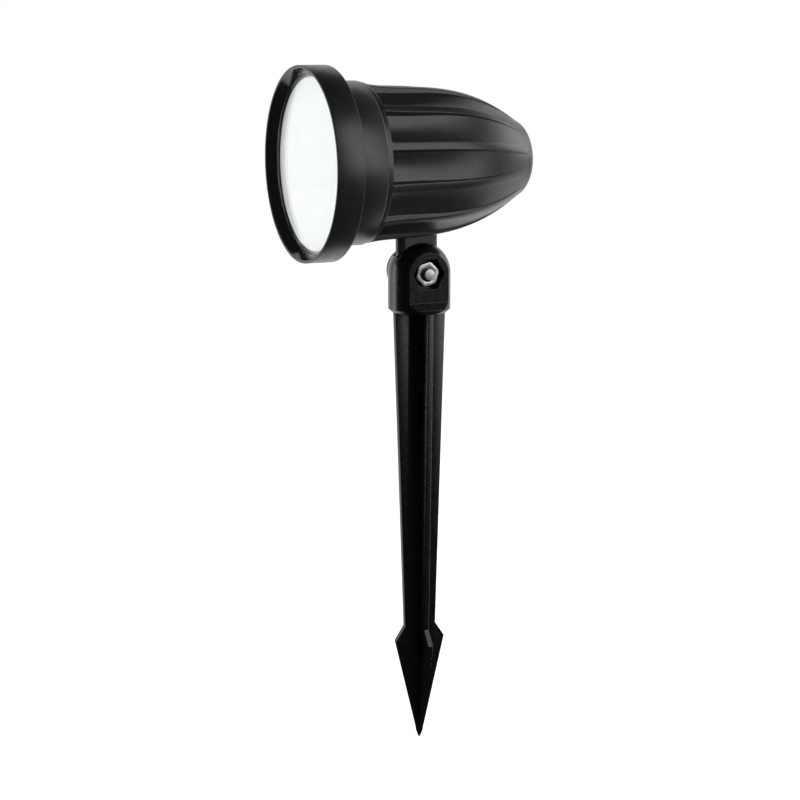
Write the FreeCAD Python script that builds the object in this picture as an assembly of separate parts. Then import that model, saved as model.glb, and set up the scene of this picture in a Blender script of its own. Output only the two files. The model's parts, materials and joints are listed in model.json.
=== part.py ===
"""Garden spike spotlight, in millimetres.

+Z is up and the ground level is z = 0, on the axis of the spike.  The lens faces -Y and
the head tilts about the pivot bolt, which lies along X.
"""
import FreeCAD, Part
import math
import os

V = FreeCAD.Vector
X = V(1, 0, 0)
Y = V(0, 1, 0)
Z = V(0, 0, 1)

# Clearances
RUNNING = 0.08          # a pin that turns in its hole, on the radius
SIDE_GAP = 0.3          # flat faces that pass each other at the tilt joint
FIT = 0.1               # a fixed piece in its seat, on the radius
BOLT_PLAY = 0.2         # a bolt or screw in its clearance hole, on the radius

# Places of the main axes
PIVOT_Z = 17.6          # pivot bolt above the ground
AXIS_RISE = 49.5        # lamp axis above the pivot bolt
HEAD_Z = PIVOT_Z + AXIS_RISE

# Bezel and lens stack, from the front to the back
BEZEL_R = 42.5
BEZEL_FRONT_Y = -57.0
BEZEL_LENGTH = 12.5
BEZEL_RIM = 1.2         # width of the flat front rim
BEZEL_CONE_DEPTH = 4.7
BEZEL_CONE_DRAFT = 2.6  # how much the inner cone closes in
BEZEL_EDGE = 0.6        # rounding of the outer edges
SKIRT_WALL = 2.5
GLASS_THICK = 2.0
GLASS_PLAY = 0.2
GASKET_THICK = 2.1
GASKET_WIDTH = 1.8
OPTIC_GAP = 0.1         # between the optic and the glass
RING_COUNT = 5
RING_PITCH = 6.2
RING_HEIGHT = 0.5
RING_WIDTH = 0.9

# Housing
FLANGE_LENGTH = 3.2
COLLAR_R = 35.7
COLLAR_DROP = 0.6       # how much the collar closes in at its step
COLLAR_STEP_Y = -31.0
COLLAR_STEP = 0.6
FLUTE_Y = -28.2         # where the flutes start
REAR_CORNER_Y = 45.5    # where the taper turns into the rounded back
REAR_CORNER_R = 17.8
BACK_Y = 50.3
BACK_R = 12.6
BACK_BULGE = 0.12       # rise of the rounded corner over its chord
RIB_COUNT = 12
RIB_WIDTH = 3.8
RIB_OUTLINE = ((FLUTE_Y, 34.9), (-4.0, 33.6), (17.0, 30.8), (30.0, 26.4), (REAR_CORNER_Y, REAR_CORNER_R))
FLOOR_DEPTH = 2.4       # channel floor below the ribs, at the middle of a channel
GROOVE_DEPTH = 4.6      # channel floor below the ribs, beside a rib
FLOOR_FADE_Y = 34.0     # where the middle of a channel meets the rib outline
FRONT_BORE_INSET = 0.7  # front bore inside the collar, on the radius
CAVITY_WALL = 2.4
COLLAR_WALL = 2.1       # round the seat of the heat sink
BACK_WALL = 3.8

# Tongue and knuckle
TONGUE_THICK = 6.6
TONGUE_LENGTH = 19.8
TONGUE_SHIFT = -1.4     # middle of the tongue's slab, along Y from the bolt
KNUCKLE_R = 14.05
KNUCKLE_FOOT_R = 12.6
KNUCKLE_CHAMFER = 1.5
PAD_X = 10.2            # flat face round the nut
PAD_DROP = 12.7         # lower edge of the flat face, below the bolt
LEDGE_X = 12.5
LEDGE_DROP = 15.8
BOSS_R = 10.0           # round boss under the bolt's head
BOSS_X = 14.2
BOSS_RECESS = 1.2       # depth of the washer's seat in the boss
BOSS_EDGE = 1.0
POCKET_FLATS = 13.2
POCKET_FLOOR_X = 5.6

# Pivot hardware, M6
BOLT_R = 3.0
BOLT_LENGTH = 25.0
HEX_FLATS = 10.0
BOLT_HEAD = 4.0
WASHER_R = 6.0
WASHER_THICK = 1.0
NUT_THICK = 3.2
NUT_TURN = 15.0         # degrees
HEX_CHAMFER = 0.5
HEX_SIDES = 6
THREAD_CHAMFER = 0.6

# Spike
BLADE_THICK = 2.8
BLADE_TOP = 12.4        # half widths of a blade
BLADE_NECK = 7.6
BLADE_BARB = 12.15
BLADE_TIP = 0.3
NECK_Z = -146.5
BARB_Z = -153.3
TIP_Z = -201.6
TIP_R = 0.5
TIP_SPREAD = 0.35       # how fast the blades reach their thickness, per mm of height
BARB_STAGGER = 1.1      # the barbs of one blade lie lower than those of the other
STUB_R = 6.0
STUB_HEIGHT = 6.0

# Inside the head
BOARD_R = 28.0
BOARD_THICK = 1.6
PAD_THICK = 0.3
SINK_THICK = 4.0
SINK_BOSS_LENGTH = 5.0
REFLECTOR_WALL = 1.0
REFLECTOR_PLAY = 0.4    # between the reflector and the front bore, on the radius
REFLECTOR_THROAT_R = 17.0
CHIP_SIDE = 3.0
CHIP_THICK = 0.8
CHIP_RING_R = 9.5
CHIP_COUNT = 8
SCREW_R = 1.5
SCREW_LENGTH = 5.0
SCREW_HEAD_R = 2.8
SCREW_HEAD = 1.8
SCREW_PCD = 46.0
SCREW_COUNT = 3
CASE_R = 19.5
CASE_WALL = 1.5
CASE_LENGTH = 48.0
DRIVER_DROP = 4.0       # driver board below the lamp axis
DRIVER_FRONT_GAP = 2.0
CORE_SIZE = (15.0, 13.0, 12.0)
COIL_R = 6.8
COIL_LENGTH = 9.0       # on each side of the core's middle
CAPACITOR_R = 5.0
CAPACITOR_LENGTH = 13.0
PARTS_GAP = 2.0         # along the board, between its parts
CHIP_SIZE = (5.0, 6.0, 1.8)
DRIVER_CHIPS = 3
TERMINAL_SIZE = (16.0, 9.0, 10.0)
TERMINAL_SCREW_R = 1.6
TERMINAL_SCREW_DEPTH = 3.0
TERMINAL_PITCH = 7.0
LEAD_R = 0.8
LEAD_SPACING = 8.0
LEAD_HOLE_R = 1.6

# Cord gland
GLAND_R = 4.6
GLAND_REACH = 5.0       # beyond the back of the housing
GLAND_STEM_R = 4.0
GLAND_LIP = 1.2
GLAND_EDGE = 1.4
GLAND_KNEE = 0.45       # the edge's middle, in from the two faces
SEAL_R = 3.4
CORD_BORE_R = 2.7
LIP_BORE_R = 2.9
GLAND_WASHER_R = 7.5
GLAND_WASHER_THICK = 1.0
LOCKNUT_FLATS = 12.0
LOCKNUT_THICK = 3.0
LOCKNUT_CLEAR = 0.5     # stem beyond the locknut

# Derived places
COLLAR_BACK_R = COLLAR_R - COLLAR_DROP
BORE_R = COLLAR_BACK_R - COLLAR_WALL
FRONT_BORE_R = COLLAR_R - FRONT_BORE_INSET
BEZEL_BACK_Y = BEZEL_FRONT_Y + BEZEL_LENGTH
LIP_Y = BEZEL_FRONT_Y + BEZEL_CONE_DEPTH
LIP_R = BEZEL_R - BEZEL_RIM - BEZEL_CONE_DRAFT
SKIRT_R = BEZEL_R - SKIRT_WALL
GLASS_BACK_Y = LIP_Y + GLASS_THICK
FRONT_Y = GLASS_BACK_Y + GASKET_THICK
FLANGE_BACK_Y = FRONT_Y + FLANGE_LENGTH
OPTIC_THICK = GASKET_THICK - OPTIC_GAP
GASKET_R = SKIRT_R - GLASS_PLAY
REFLECTOR_MOUTH_R = FRONT_BORE_R - REFLECTOR_PLAY
OPTIC_R = GASKET_R - GASKET_WIDTH - GLASS_PLAY
SINK_BACK_Y = FLUTE_Y - PAD_THICK - BOARD_THICK
SINK_FRONT_Y = SINK_BACK_Y - SINK_THICK
PAD_FRONT_Y = SINK_FRONT_Y - PAD_THICK
BOARD_FRONT_Y = PAD_FRONT_Y - BOARD_THICK
CASE_FRONT_Y = SINK_BACK_Y
CASE_BORE_R = CASE_R - CASE_WALL
BOARD_TOP_Z = HEAD_Z - DRIVER_DROP
DRIVER_Y = CASE_FRONT_Y + SINK_BOSS_LENGTH + DRIVER_FRONT_GAP
TRANSFORMER_Y = DRIVER_Y + 2 * DRIVER_FRONT_GAP + CORE_SIZE[1] / 2
CAPACITOR_Y = TRANSFORMER_Y + max(COIL_R, CORE_SIZE[1] / 2) + PARTS_GAP
TERMINAL_Y = CAPACITOR_Y + CAPACITOR_LENGTH + PARTS_GAP + TERMINAL_SIZE[1] / 2
DRIVER_LENGTH = TERMINAL_Y + TERMINAL_SIZE[1] / 2 - DRIVER_Y
WASHER_SEAT_X = BOSS_RECESS - BOSS_X
SEAL_BACK_Y = BACK_Y + GLAND_REACH - GLAND_LIP
WALL_Y = BACK_Y - BACK_WALL
SLOT_HALF = TONGUE_THICK / 2 + SIDE_GAP
TONGUE_R = TONGUE_LENGTH / 2
CUT = 100.0             # longer than anything that it cuts
BISECTIONS = 40         # halvings that find a place on the rib outline


def ring(outer, inner, start, end):
    """A ring about the lamp axis; inner may be 0 for a disc."""
    body = Part.makeCylinder(outer, end - start, V(0, start, HEAD_Z), Y)
    if inner > 0:
        body = body.cut(Part.makeCylinder(inner, end - start, V(0, start, HEAD_Z), Y))
    return body


def turned(points):
    """A solid turned about the lamp axis from (y, radius) points."""
    corners = [V(0, y, HEAD_Z + r) for y, r in points]
    face = Part.Face(Part.makePolygon(corners + [corners[0]]))
    return face.revolve(V(0, 0, HEAD_Z), Y, 360)


def hexagon(flats, base, axis, height, turn=0.0):
    """A hexagonal prism along X or Y whose first corner is turned from the horizontal."""
    radius = flats / math.sqrt(3)
    across = Y if axis == X else X
    corners = []
    for i in range(HEX_SIDES + 1):
        angle = math.radians(360 / HEX_SIDES * i + turn)
        corners.append(base + across * (radius * math.cos(angle)) + Z * (radius * math.sin(angle)))
    return Part.Face(Part.makePolygon(corners)).extrude(axis * height)


def box(centre, size):
    """A box given by its centre and its size along X, Y and Z."""
    low = centre - V(*size) * 0.5
    return Part.makeBox(size[0], size[1], size[2], low)


def on_circle(radius, degrees, y):
    """A point on a circle about the lamp axis; 0 degrees is +X and 90 is up."""
    angle = math.radians(degrees)
    return V(radius * math.cos(angle), y, HEAD_Z + radius * math.sin(angle))


def rounded_rod(radius, start, end, chamfer):
    """A rod along X whose far end is chamfered."""
    rod = Part.makeCylinder(radius, end - start - chamfer, V(start, 0, PIVOT_Z), X)
    tip = Part.makeCone(radius, radius - chamfer, chamfer, V(end - chamfer, 0, PIVOT_Z), X)
    return rod.fuse(tip).removeSplitter()


# Housing

def rib_curve():
    """The rib outline as a smooth curve in the plane x = 0."""
    curve = Part.BSplineCurve()
    curve.interpolate([V(0, y, HEAD_Z + r) for y, r in RIB_OUTLINE])
    return curve


def rib_radius(y):
    """Radius of the rib outline at y."""
    curve = rib_curve()
    low = curve.FirstParameter
    high = curve.LastParameter
    for _ in range(BISECTIONS):
        middle = (low + high) / 2
        if curve.value(middle).y < y:
            low = middle
        else:
            high = middle
    return curve.value(low).z - HEAD_Z


def envelope():
    """Everything inside the rib outline, with the rounded back."""
    start = V(0, FLUTE_Y, HEAD_Z + RIB_OUTLINE[0][1])
    corner = V(0, REAR_CORNER_Y, HEAD_Z + REAR_CORNER_R)
    edges = [rib_curve().toShape()]
    edges += back_edges(corner)
    edges.append(Part.makeLine(V(0, BACK_Y, HEAD_Z), V(0, FLUTE_Y, HEAD_Z)))
    edges.append(Part.makeLine(V(0, FLUTE_Y, HEAD_Z), start))
    return Part.Face(Part.Wire(edges)).revolve(V(0, 0, HEAD_Z), Y, 360)


def back_edges(corner):
    """The rounded corner and the flat back, from the taper's end to the axis."""
    rim = V(0, BACK_Y, HEAD_Z + BACK_R)
    middle = (corner + rim) * 0.5
    outwards = V(0, corner.z - rim.z, rim.y - corner.y).normalize()
    bulge = middle + outwards * ((rim - corner).Length * BACK_BULGE)
    arc = Part.Arc(corner, bulge, rim).toShape()
    return [arc, Part.makeLine(rim, V(0, BACK_Y, HEAD_Z))]


def lobed_wire(y):
    """Section of the channel floors: one outward arc for each channel."""
    rib_r = rib_radius(y)
    left = (REAR_CORNER_Y - y) / (REAR_CORNER_Y - FLUTE_Y)
    floor_left = max(0.0, (FLOOR_FADE_Y - y) / (FLOOR_FADE_Y - FLUTE_Y))
    floor_r = rib_r - FLOOR_DEPTH * floor_left
    groove_r = rib_r - GROOVE_DEPTH * left
    step = 360.0 / RIB_COUNT
    edges = []
    for i in range(RIB_COUNT):
        angle = i * step
        start = on_circle(groove_r, angle - step / 2, y)
        middle = on_circle(floor_r, angle, y)
        end = on_circle(groove_r, angle + step / 2, y)
        edges.append(Part.Arc(start, middle, end).toShape())
    return Part.Wire(edges)


def channel_floors():
    """The core of the housing inside the channel floors, with the rounded back."""
    stations = [y for y, _ in RIB_OUTLINE]
    core = Part.makeLoft([lobed_wire(y) for y in stations], True, False)
    corner = V(0, REAR_CORNER_Y, HEAD_Z + REAR_CORNER_R)
    edges = back_edges(corner)
    edges.append(Part.makeLine(V(0, BACK_Y, HEAD_Z), V(0, REAR_CORNER_Y, HEAD_Z)))
    edges.append(Part.makeLine(V(0, REAR_CORNER_Y, HEAD_Z), corner))
    back = Part.Face(Part.Wire(edges)).revolve(V(0, 0, HEAD_Z), Y, 360)
    return core.fuse(back)


def ribs():
    """Twelve radial slabs, cut to the rib outline."""
    slabs = []
    length = BACK_Y - FLUTE_Y
    step = 360.0 / RIB_COUNT
    for i in range(RIB_COUNT):
        slab = Part.makeBox(COLLAR_R, length, RIB_WIDTH, V(0, FLUTE_Y, HEAD_Z - RIB_WIDTH / 2))
        slab.rotate(V(0, 0, HEAD_Z), Y, -(i + 0.5) * step)
        slabs.append(slab)
    return slabs[0].multiFuse(slabs[1:]).common(envelope())


def collar():
    """The smooth front part, from the bezel's flange to the start of the flutes."""
    points = (
        (FRONT_Y, 0),
        (FRONT_Y, SKIRT_R - FIT),
        (FLANGE_BACK_Y, SKIRT_R - FIT),
        (FLANGE_BACK_Y, COLLAR_R),
        (COLLAR_STEP_Y, COLLAR_R),
        (COLLAR_STEP_Y + COLLAR_STEP, COLLAR_BACK_R),
        (FLUTE_Y, COLLAR_BACK_R),
        (FLUTE_Y, 0),
    )
    return turned(points)


def tongue():
    """The lug under the housing: a slab with rounded ends and a round lower end."""
    half = TONGUE_THICK / 2
    disc = Part.makeCylinder(TONGUE_R, TONGUE_THICK, V(-half, 0, PIVOT_Z), X)
    rise = AXIS_RISE - BORE_R + CAVITY_WALL
    flat = TONGUE_LENGTH - TONGUE_THICK
    slab = box(V(0, TONGUE_SHIFT, PIVOT_Z + rise / 2), (TONGUE_THICK, flat, rise))
    ends = [V(0, TONGUE_SHIFT + side * flat / 2, PIVOT_Z) for side in (-1, 1)]
    ends = [Part.makeCylinder(half, rise, end) for end in ends]
    return disc.multiFuse([slab] + ends)


def cavity():
    """The hollow inside the housing."""
    floor_r = rib_radius(FLUTE_Y) - GROOVE_DEPTH - CAVITY_WALL
    points = (
        (FRONT_Y, 0),
        (FRONT_Y, FRONT_BORE_R),
        (FLANGE_BACK_Y, FRONT_BORE_R),
        (FLANGE_BACK_Y, BORE_R),
        (SINK_BACK_Y, BORE_R),
        (SINK_BACK_Y, floor_r),
        (RIB_OUTLINE[2][0], rib_radius(RIB_OUTLINE[2][0]) - GROOVE_DEPTH - CAVITY_WALL),
        (WALL_Y, BACK_R),
        (WALL_Y, 0),
    )
    return turned(points)


def housing():
    """The fluted shell with its collar and tongue."""
    body = channel_floors().multiFuse([ribs(), collar(), tongue()])
    body = body.cut(cavity())
    body = body.cut(ring(GLAND_STEM_R + BOLT_PLAY, 0, WALL_Y, BACK_Y))
    hole = Part.makeCylinder(BOLT_R + RUNNING, TONGUE_THICK, V(-TONGUE_THICK / 2, 0, PIVOT_Z), X)
    return body.cut(hole).removeSplitter()


# Front

def front_bezel():
    """The ring that clamps the glass; its mouth is a short inner cone."""
    points = (
        (BEZEL_FRONT_Y, BEZEL_R - BEZEL_RIM),
        (BEZEL_FRONT_Y, BEZEL_R - BEZEL_EDGE),
        (BEZEL_FRONT_Y + BEZEL_EDGE, BEZEL_R),
        (BEZEL_BACK_Y - BEZEL_EDGE, BEZEL_R),
        (BEZEL_BACK_Y, BEZEL_R - BEZEL_EDGE),
        (BEZEL_BACK_Y, SKIRT_R),
        (LIP_Y, SKIRT_R),
        (LIP_Y, LIP_R),
    )
    return turned(points)


def lens_glass():
    """Clear disc behind the bezel's lip."""
    return ring(SKIRT_R - GLASS_PLAY, 0, LIP_Y, GLASS_BACK_Y)


def lens_gasket():
    """Flat rubber ring between the glass and the housing."""
    return ring(GASKET_R, GASKET_R - GASKET_WIDTH, GLASS_BACK_Y, FRONT_Y)


def diffuser_optic():
    """White disc with low concentric rings on its back."""
    back_y = FRONT_Y
    front_y = back_y - OPTIC_THICK
    disc = ring(OPTIC_R, 0, front_y, back_y)
    rings = []
    for i in range(RING_COUNT):
        radius = RING_PITCH * (i + 0.5)
        rings.append(ring(radius + RING_WIDTH, radius, back_y, back_y + RING_HEIGHT))
    return disc.multiFuse(rings)


def reflector():
    """White cup between the light board and the optic."""
    front_y = FRONT_Y + RING_HEIGHT + GLASS_PLAY
    rim_y = front_y + REFLECTOR_WALL
    points = (
        (front_y, REFLECTOR_MOUTH_R - REFLECTOR_WALL),
        (front_y, REFLECTOR_MOUTH_R),
        (rim_y, REFLECTOR_MOUTH_R),
        (rim_y, REFLECTOR_MOUTH_R - REFLECTOR_WALL),
        (BOARD_FRONT_Y, REFLECTOR_THROAT_R),
        (BOARD_FRONT_Y, REFLECTOR_THROAT_R - REFLECTOR_WALL),
    )
    return turned(points)


# Light engine

def screw_places(y):
    """Centres of the light board's screws."""
    return [on_circle(SCREW_PCD / 2, 90 + 360.0 * i / SCREW_COUNT, y) for i in range(SCREW_COUNT)]


def lead_places(y):
    """Centres of the two internal leads."""
    z = BOARD_TOP_Z + LEAD_R
    return [V(side * LEAD_SPACING / 2, y, z) for side in (-1, 1)]


def drilled(body, places, radius, length):
    """The body with holes along Y at the places."""
    holes = [Part.makeCylinder(radius, length, place, Y) for place in places]
    return body.cut(holes[0].multiFuse(holes[1:]))


def led_board():
    """Aluminium-backed board that carries the light chips."""
    board = ring(BOARD_R, 0, BOARD_FRONT_Y, PAD_FRONT_Y)
    board = drilled(board, screw_places(BOARD_FRONT_Y), SCREW_R + BOLT_PLAY, BOARD_THICK)
    return drilled(board, lead_places(BOARD_FRONT_Y), LEAD_HOLE_R, BOARD_THICK)


def led_chips():
    """One chip in the middle and a ring of them around it."""
    y = BOARD_FRONT_Y - CHIP_THICK / 2
    size = (CHIP_SIDE, CHIP_THICK, CHIP_SIDE)
    chips = [box(V(0, y, HEAD_Z), size)]
    for i in range(CHIP_COUNT):
        chips.append(box(on_circle(CHIP_RING_R, 360.0 * i / CHIP_COUNT, y), size))
    return Part.Compound(chips)


def thermal_pad():
    """Thin pad between the board and the heat sink."""
    pad = ring(BOARD_R, 0, PAD_FRONT_Y, SINK_FRONT_Y)
    pad = drilled(pad, screw_places(PAD_FRONT_Y), SCREW_R + BOLT_PLAY, PAD_THICK)
    return drilled(pad, lead_places(PAD_FRONT_Y), LEAD_HOLE_R, PAD_THICK)


def heat_sink():
    """Aluminium plate on the housing's ledge, with a boss for the driver case."""
    plate = ring(BORE_R - FIT, 0, SINK_FRONT_Y, SINK_BACK_Y)
    boss = ring(CASE_BORE_R - FIT, 0, SINK_BACK_Y, SINK_BACK_Y + SINK_BOSS_LENGTH)
    body = plate.fuse(boss)
    body = drilled(body, screw_places(SINK_FRONT_Y), SCREW_R, SINK_THICK)
    return drilled(body, lead_places(SINK_FRONT_Y), LEAD_HOLE_R, SINK_THICK + SINK_BOSS_LENGTH)


def board_screws():
    """Pan-head screws that hold the light board."""
    screws = []
    for place in screw_places(BOARD_FRONT_Y):
        shank = Part.makeCylinder(SCREW_R, SCREW_LENGTH, place, Y)
        head = Part.makeCylinder(SCREW_HEAD_R, SCREW_HEAD, place - Y * SCREW_HEAD, Y)
        screws.append(shank.fuse(head))
    return Part.Compound(screws)


def led_leads():
    """Two straight leads from the driver board to the light board."""
    length = DRIVER_Y + DRIVER_FRONT_GAP - BOARD_FRONT_Y
    return Part.Compound([Part.makeCylinder(LEAD_R, length, p, Y) for p in lead_places(BOARD_FRONT_Y)])


# Driver

def driver_case():
    """Insulating tube on the heat sink's boss."""
    return ring(CASE_R, CASE_BORE_R, CASE_FRONT_Y, CASE_FRONT_Y + CASE_LENGTH)


def driver_board():
    """Circuit board across the case, held by the tube's wall at both edges."""
    drop = DRIVER_DROP + BOARD_THICK
    half = math.sqrt((CASE_BORE_R - FIT) ** 2 - drop ** 2)
    low = V(-half, DRIVER_Y, BOARD_TOP_Z - BOARD_THICK)
    return Part.makeBox(2 * half, DRIVER_LENGTH, BOARD_THICK, low)


def driver_transformer():
    """Ferrite core with its round winding."""
    core = box(V(0, TRANSFORMER_Y, BOARD_TOP_Z + CORE_SIZE[2] / 2), CORE_SIZE)
    start = V(-COIL_LENGTH, TRANSFORMER_Y, BOARD_TOP_Z + COIL_R)
    return core.fuse(Part.makeCylinder(COIL_R, 2 * COIL_LENGTH, start, X))


def driver_capacitor():
    """Electrolytic capacitor lying on the board."""
    start = V(0, CAPACITOR_Y, BOARD_TOP_Z + CAPACITOR_R)
    return Part.makeCylinder(CAPACITOR_R, CAPACITOR_LENGTH, start, Y)


def driver_chips():
    """Flat packages on the underside of the board."""
    z = BOARD_TOP_Z - BOARD_THICK - CHIP_SIZE[2] / 2
    pitch = DRIVER_LENGTH / (DRIVER_CHIPS + 1)
    chips = [box(V(0, DRIVER_Y + pitch * (i + 1), z), CHIP_SIZE) for i in range(DRIVER_CHIPS)]
    return Part.Compound(chips)


def terminal_centre():
    """Middle of the terminal block, at the rear end of the board."""
    return V(0, TERMINAL_Y, BOARD_TOP_Z + TERMINAL_SIZE[2] / 2)


def terminal_screw_places():
    """Tops of the two terminal screws."""
    top = terminal_centre() + Z * (TERMINAL_SIZE[2] / 2)
    return [top + X * (side * TERMINAL_PITCH / 2) for side in (-1, 1)]


def terminal_block():
    """Two-pole block where the supply joins the driver."""
    block = box(terminal_centre(), TERMINAL_SIZE)
    for place in terminal_screw_places():
        block = block.cut(Part.makeCylinder(TERMINAL_SCREW_R, TERMINAL_SCREW_DEPTH, place, Z * -1))
    return block


def terminal_screws():
    """Grub screws of the terminal block."""
    return Part.Compound([
        Part.makeCylinder(TERMINAL_SCREW_R, TERMINAL_SCREW_DEPTH, place, Z * -1)
        for place in terminal_screw_places()
    ])


# Cord gland

def gland_body():
    """Stem through the back wall, with a rounded mouth for the cord."""
    mouth_y = BACK_Y + GLAND_REACH
    stem_y = WALL_Y - GLAND_WASHER_THICK - LOCKNUT_THICK - LOCKNUT_CLEAR
    points = (
        (stem_y, SEAL_R),
        (stem_y, GLAND_STEM_R),
        (BACK_Y, GLAND_STEM_R),
        (BACK_Y, GLAND_R),
        (mouth_y - GLAND_EDGE, GLAND_R),
        (mouth_y - GLAND_KNEE, GLAND_R - GLAND_KNEE),
        (mouth_y, GLAND_R - GLAND_EDGE),
        (mouth_y, LIP_BORE_R),
        (SEAL_BACK_Y, LIP_BORE_R),
        (SEAL_BACK_Y, SEAL_R),
    )
    return turned(points)


def gland_seal():
    """Rubber sleeve that grips the cord."""
    return ring(SEAL_R, CORD_BORE_R, WALL_Y, SEAL_BACK_Y)


def gland_washer():
    """Flat rubber washer inside the back wall."""
    return ring(GLAND_WASHER_R, GLAND_STEM_R, WALL_Y - GLAND_WASHER_THICK, WALL_Y)


def gland_locknut():
    """Hexagonal nut on the stem."""
    start_y = WALL_Y - GLAND_WASHER_THICK - LOCKNUT_THICK
    nut = hexagon(LOCKNUT_FLATS, V(0, start_y, HEAD_Z), Y, LOCKNUT_THICK)
    return nut.cut(ring(GLAND_STEM_R, 0, start_y, start_y + LOCKNUT_THICK))


# Base

def knuckle():
    """Domed post with a slot for the tongue, a flat with the nut's pocket, and a boss."""
    foot = Part.makeCone(KNUCKLE_FOOT_R, KNUCKLE_R, KNUCKLE_CHAMFER)
    post = Part.makeCylinder(KNUCKLE_R, PIVOT_Z - KNUCKLE_CHAMFER, V(0, 0, KNUCKLE_CHAMFER))
    dome = Part.makeSphere(KNUCKLE_R, V(0, 0, PIVOT_Z))
    boss = Part.makeCylinder(BOSS_R, BOSS_X - BOSS_EDGE, V(0, 0, PIVOT_Z), X * -1)
    rim_at = V(BOSS_EDGE - BOSS_X, 0, PIVOT_Z)
    rim = Part.makeCone(BOSS_R, BOSS_R - BOSS_EDGE, BOSS_EDGE, rim_at, X * -1)
    body = foot.multiFuse([post, dome, boss, rim])
    body = body.cut(pad_cutter()).cut(slot_cutter())
    recess = Part.makeCylinder(WASHER_R + BOLT_PLAY, CUT, V(WASHER_SEAT_X, 0, PIVOT_Z), X * -1)
    pocket = hexagon(POCKET_FLATS, V(POCKET_FLOOR_X, 0, PIVOT_Z), X, CUT)
    hole = Part.makeCylinder(BOLT_R + BOLT_PLAY, CUT, V(-CUT / 2, 0, PIVOT_Z), X)
    socket = Part.makeCylinder(STUB_R + FIT, STUB_HEIGHT, V(0, 0, 0), Z)
    for tool in (recess, pocket, hole, socket):
        body = body.cut(tool)
    return body.removeSplitter()


def pad_cutter():
    """What the flat face and its sloped ledge take off the +X side."""
    pad_z = PIVOT_Z - PAD_DROP
    ledge_z = PIVOT_Z - LEDGE_DROP
    outline = (
        (PAD_X, CUT), (PAD_X, pad_z), (LEDGE_X, ledge_z), (LEDGE_X, -CUT), (CUT, -CUT), (CUT, CUT),
    )
    corners = [V(x, -CUT / 2, z) for x, z in outline]
    return Part.Face(Part.makePolygon(corners + [corners[0]])).extrude(Y * CUT)


def slot_cutter():
    """Room for the tongue: open upwards and to the back, closed by a wall at the front."""
    reach = TONGUE_R + SIDE_GAP
    round_end = Part.makeCylinder(reach, 2 * SLOT_HALF, V(-SLOT_HALF, 0, PIVOT_Z), X)
    front_y = TONGUE_SHIFT - reach
    above = Part.makeBox(2 * SLOT_HALF, CUT, CUT, V(-SLOT_HALF, front_y, PIVOT_Z - SIDE_GAP))
    behind = Part.makeBox(2 * SLOT_HALF, CUT, CUT, V(-SLOT_HALF, 0, PIVOT_Z - reach))
    return round_end.multiFuse([above, behind])


def chamfered_hexagon(flats, start_x, thick, turn):
    """A hexagon along X with the usual chamfer on its +X corners."""
    nut = hexagon(flats, V(start_x, 0, PIVOT_Z), X, thick, turn)
    corner_r = flats / math.sqrt(3)
    wide = corner_r + HEX_CHAMFER
    cone = Part.makeCone(wide + thick, flats / 2, wide + thick - flats / 2, V(0, 0, 0), X)
    cone.translate(V(start_x + thick - (wide + thick - flats / 2), 0, PIVOT_Z))
    return nut.common(cone)


def pivot_bolt():
    """M6 bolt along X with its hexagonal head on the -X side."""
    seat_x = WASHER_SEAT_X - WASHER_THICK
    shank = rounded_rod(BOLT_R, seat_x, seat_x + BOLT_LENGTH, THREAD_CHAMFER)
    head = hexagon(HEX_FLATS, V(seat_x - BOLT_HEAD, 0, PIVOT_Z), X, BOLT_HEAD)
    return shank.fuse(head)


def pivot_washer():
    """Flat washer under the bolt's head."""
    start = V(WASHER_SEAT_X - WASHER_THICK, 0, PIVOT_Z)
    disc = Part.makeCylinder(WASHER_R, WASHER_THICK, start, X)
    return disc.cut(Part.makeCylinder(BOLT_R + BOLT_PLAY, WASHER_THICK, start, X))


def pivot_nut():
    """Thin M6 nut in the pocket."""
    nut = chamfered_hexagon(HEX_FLATS, POCKET_FLOOR_X, NUT_THICK, NUT_TURN)
    start = V(POCKET_FLOOR_X, 0, PIVOT_Z)
    return nut.cut(Part.makeCylinder(BOLT_R, NUT_THICK, start, X))


def blade(across, drop):
    """One tapering blade with a barbed point; across is X or Y."""
    side = (
        (BLADE_TOP, 0.0), (BLADE_NECK, NECK_Z - drop), (BLADE_BARB, BARB_Z - drop), (BLADE_TIP, TIP_Z),
    )
    outline = list(side) + [(-w, z) for w, z in reversed(side)]
    normal = Y if across == X else X
    corners = [across * w + Z * z - normal * (BLADE_THICK / 2) for w, z in outline]
    return Part.Face(Part.makePolygon(corners + [corners[0]])).extrude(normal * BLADE_THICK)


def point_limit():
    """Room that draws the blades in at the point: a cone up to the barbs and a cylinder above."""
    height = BARB_Z - TIP_Z
    wide = TIP_R + TIP_SPREAD * height
    cone = Part.makeCone(TIP_R, wide, height, V(0, 0, TIP_Z))
    return cone.fuse(Part.makeCylinder(wide, STUB_HEIGHT - BARB_Z, V(0, 0, BARB_Z)))


def spike():
    """Cross-shaped stake with the stub that enters the knuckle."""
    stub = Part.makeCylinder(STUB_R, STUB_HEIGHT, V(0, 0, 0), Z)
    stake = blade(Y, 0.0).multiFuse([blade(X, BARB_STAGGER), stub])
    return stake.common(point_limit()).removeSplitter()


PIECES = (
    front_bezel, lens_glass, lens_gasket, diffuser_optic, reflector, led_board, led_chips,
    board_screws, thermal_pad, heat_sink, housing, driver_case, driver_board, driver_transformer,
    driver_capacitor, driver_chips, terminal_block, terminal_screws, led_leads, gland_body,
    gland_seal, gland_washer, gland_locknut, knuckle, pivot_bolt, pivot_washer, pivot_nut, spike,
)

os.makedirs("parts", exist_ok=True)
for piece in PIECES:
    shape = piece()
    name = piece.__name__
    shape.exportStep("parts/" + name + ".step")
    print(name, len(shape.Solids), "valid" if shape.isValid() else "NOT VALID", round(shape.Volume, 1))
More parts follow.
